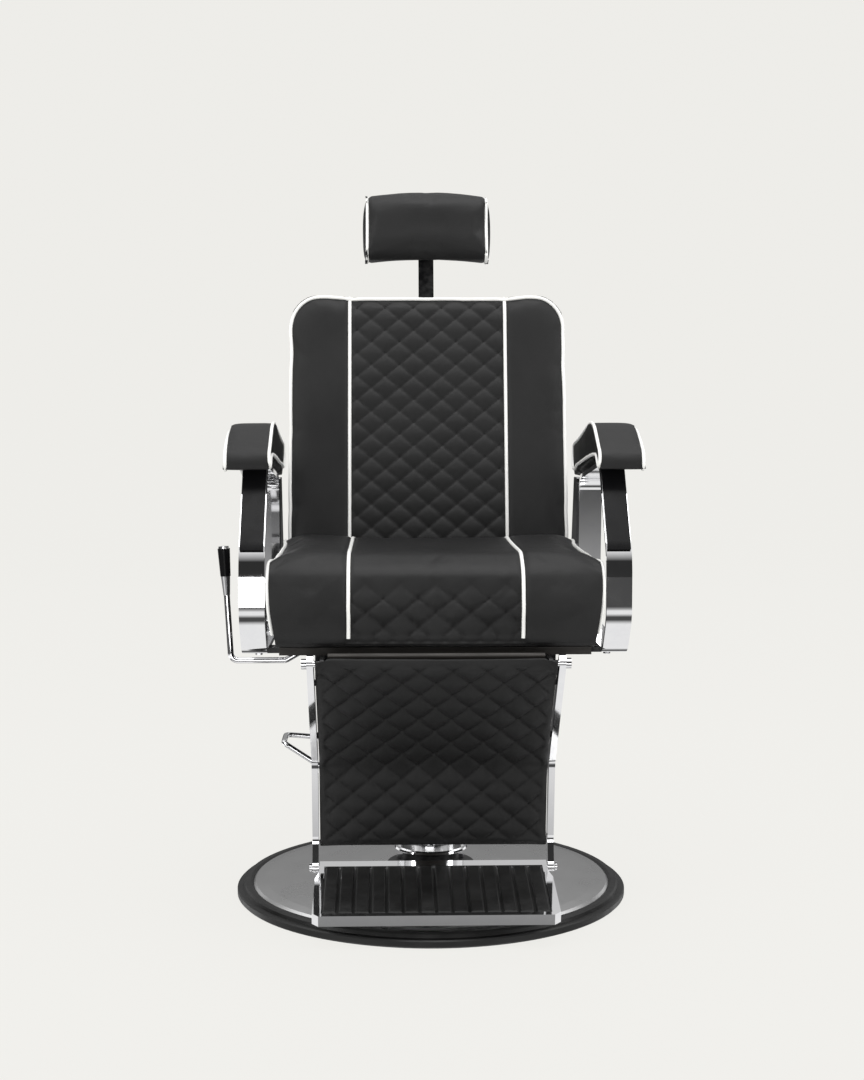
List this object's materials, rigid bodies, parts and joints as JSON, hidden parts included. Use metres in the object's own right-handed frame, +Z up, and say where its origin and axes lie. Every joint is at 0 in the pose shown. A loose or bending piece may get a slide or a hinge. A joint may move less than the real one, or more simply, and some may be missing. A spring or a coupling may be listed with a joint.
{
  "type": "hydraulic barber chair",
  "caption": "Hydraulic barber chair with padded reclining back, sliding tilting headrest, chrome loop arms, hinged leg rest, flip-up foot plate, foot pump pedal and round swivel base.",
  "frame": {"origin": "on the floor at the middle of the round base", "axes": "+Z up the pump column, the sitter faces -Y, +X to the sitter's left"},
  "size_m": [0.6849, 0.6951, 1.2163],
  "materials": {
    "rubber": "matt",
    "brushed_disc": "satin, brushed in rings",
    "cast_plate": "painted black",
    "zinc": "zinc plated",
    "black_steel": "satin black powder coat",
    "chrome": "mirror",
    "ground_steel": "hard chromed and ground",
    "bronze": "turned",
    "nylon": "natural",
    "plywood": "stained black",
    "upholstery": "satin black synthetic leather over foam, white piping",
    "black_plastic": "fine satin"
  },
  "bodies": {
    "base": {"base_plate": "cast_plate", "base_disc": "brushed_disc", "base_ring": "rubber", "base_bolts": "zinc", "pump_cylinder": "black_steel", "cylinder_bush": "bronze"},
    "lift": {"ram": "ground_steel", "ram_head": "black_steel", "column_cover": "chrome", "thrust_washer": "nylon"},
    "chair": {"top_plate": "black_steel", "plate_bolts": "zinc", "seat_frame": "black_steel", "recline_cylinder": "black_steel", "seat_pan": "plywood", "seat_cushion": "upholstery", "arm_bracket_left": "black_steel", "arm_bracket_right": "black_steel", "arm_band_left": "chrome", "arm_band_right": "chrome", "arm_insert_left": "black_plastic", "arm_insert_right": "black_plastic", "arm_pad_left": "upholstery", "arm_pad_right": "upholstery", "arm_bolts": "zinc", "side_plate_left": "chrome", "side_plate_right": "chrome", "back_pivot_pins": "chrome", "pedal_ears": "black_steel", "pedal_pin": "zinc"},
    "backrest": {"back_frame": "black_steel", "back_board": "plywood", "back_cushion": "upholstery", "back_cover": "upholstery", "post_guide": "black_steel"},
    "clamp_knob": {"knob_grip": "black_plastic", "knob_screw": "ground_steel"},
    "head_post": {"headrest_post": "black_steel"},
    "headrest": {"headrest_bracket": "black_steel", "headrest_pin": "chrome", "headrest_board": "plywood", "headrest_cushion": "upholstery"},
    "recline_link": {"recline_rod": "chrome", "recline_pin": "zinc"},
    "leg_rest": {"leg_rail_left": "chrome", "leg_rail_right": "chrome", "leg_crossbars": "black_steel", "calf_board": "plywood", "calf_pad": "upholstery", "leg_pivot_pins": "chrome"},
    "foot_plate": {"foot_tray": "chrome", "foot_mat": "rubber", "foot_pins": "chrome"},
    "recline_lever": {"lever_rod": "chrome", "lever_grip": "black_plastic", "lever_cap": "chrome", "lever_collar": "black_steel"},
    "pump_pedal": {"pump_pedal": "chrome"}
  },
  "joints": [
    {"name": "pump_lift", "type": "slide", "parent": "base", "child": "lift", "axis": [0, 0, 1], "range_m": [0, 0.16]},
    {"name": "swivel", "type": "hinge", "parent": "lift", "child": "chair", "pos_m": [0, 0, 0.362], "axis": [0, 0, 1], "continuous": true},
    {"name": "recline", "type": "hinge", "parent": "chair", "child": "backrest", "pos_m": [0, 0.185, 0.5], "axis": [-1, 0, 0], "range_deg": [0, 45]},
    {"name": "recline_push", "type": "slide", "parent": "chair", "child": "recline_link", "axis": [0, -1, 0], "range_m": [0, 0.06174]},
    {"name": "leg_raise", "type": "hinge", "parent": "chair", "child": "leg_rest", "pos_m": [0, -0.315, 0.436], "axis": [-1, 0, 0], "range_deg": [0, 75.5]},
    {"name": "foot_flip", "type": "hinge", "parent": "leg_rest", "child": "foot_plate", "pos_m": [0, -0.15, 0.078], "axis": [-1, 0, 0], "range_deg": [0, 78]},
    {"name": "headrest_height", "type": "slide", "parent": "backrest", "child": "head_post", "axis": [0, 0.2079, 0.9781], "range_m": [-0.04, 0.08]},
    {"name": "headrest_tilt", "type": "hinge", "parent": "head_post", "child": "headrest", "pos_m": [0, 0.34857, 1.13487], "axis": [-1, 0, 0], "range_deg": [-12, 35]},
    {"name": "clamp_turn", "type": "hinge", "parent": "backrest", "child": "clamp_knob", "pos_m": [0, 0.32996, 0.94151], "axis": [0, 0.9781, -0.2079], "range_deg": [0, 180]},
    {"name": "lever_pull", "type": "hinge", "parent": "chair", "child": "recline_lever", "pos_m": [-0.16, -0.05, 0.424], "axis": [-1, 0, 0], "range_deg": [0, 20], "stiffness_Nm_per_rad": 2, "springref_deg": -34.38},
    {"name": "pedal_press", "type": "hinge", "parent": "chair", "child": "pump_pedal", "pos_m": [-0.084, 0.02, 0.322], "axis": [0, -1, 0], "range_deg": [0, 25], "stiffness_Nm_per_rad": 4, "springref_deg": -28.65}
  ],
  "couplings": [
    {"joint": "recline_push", "follows": "recline", "m_per_rad": 0.07797},
    {"joint": "leg_raise", "follows": "recline", "ratio": 1.6667}
  ]
}
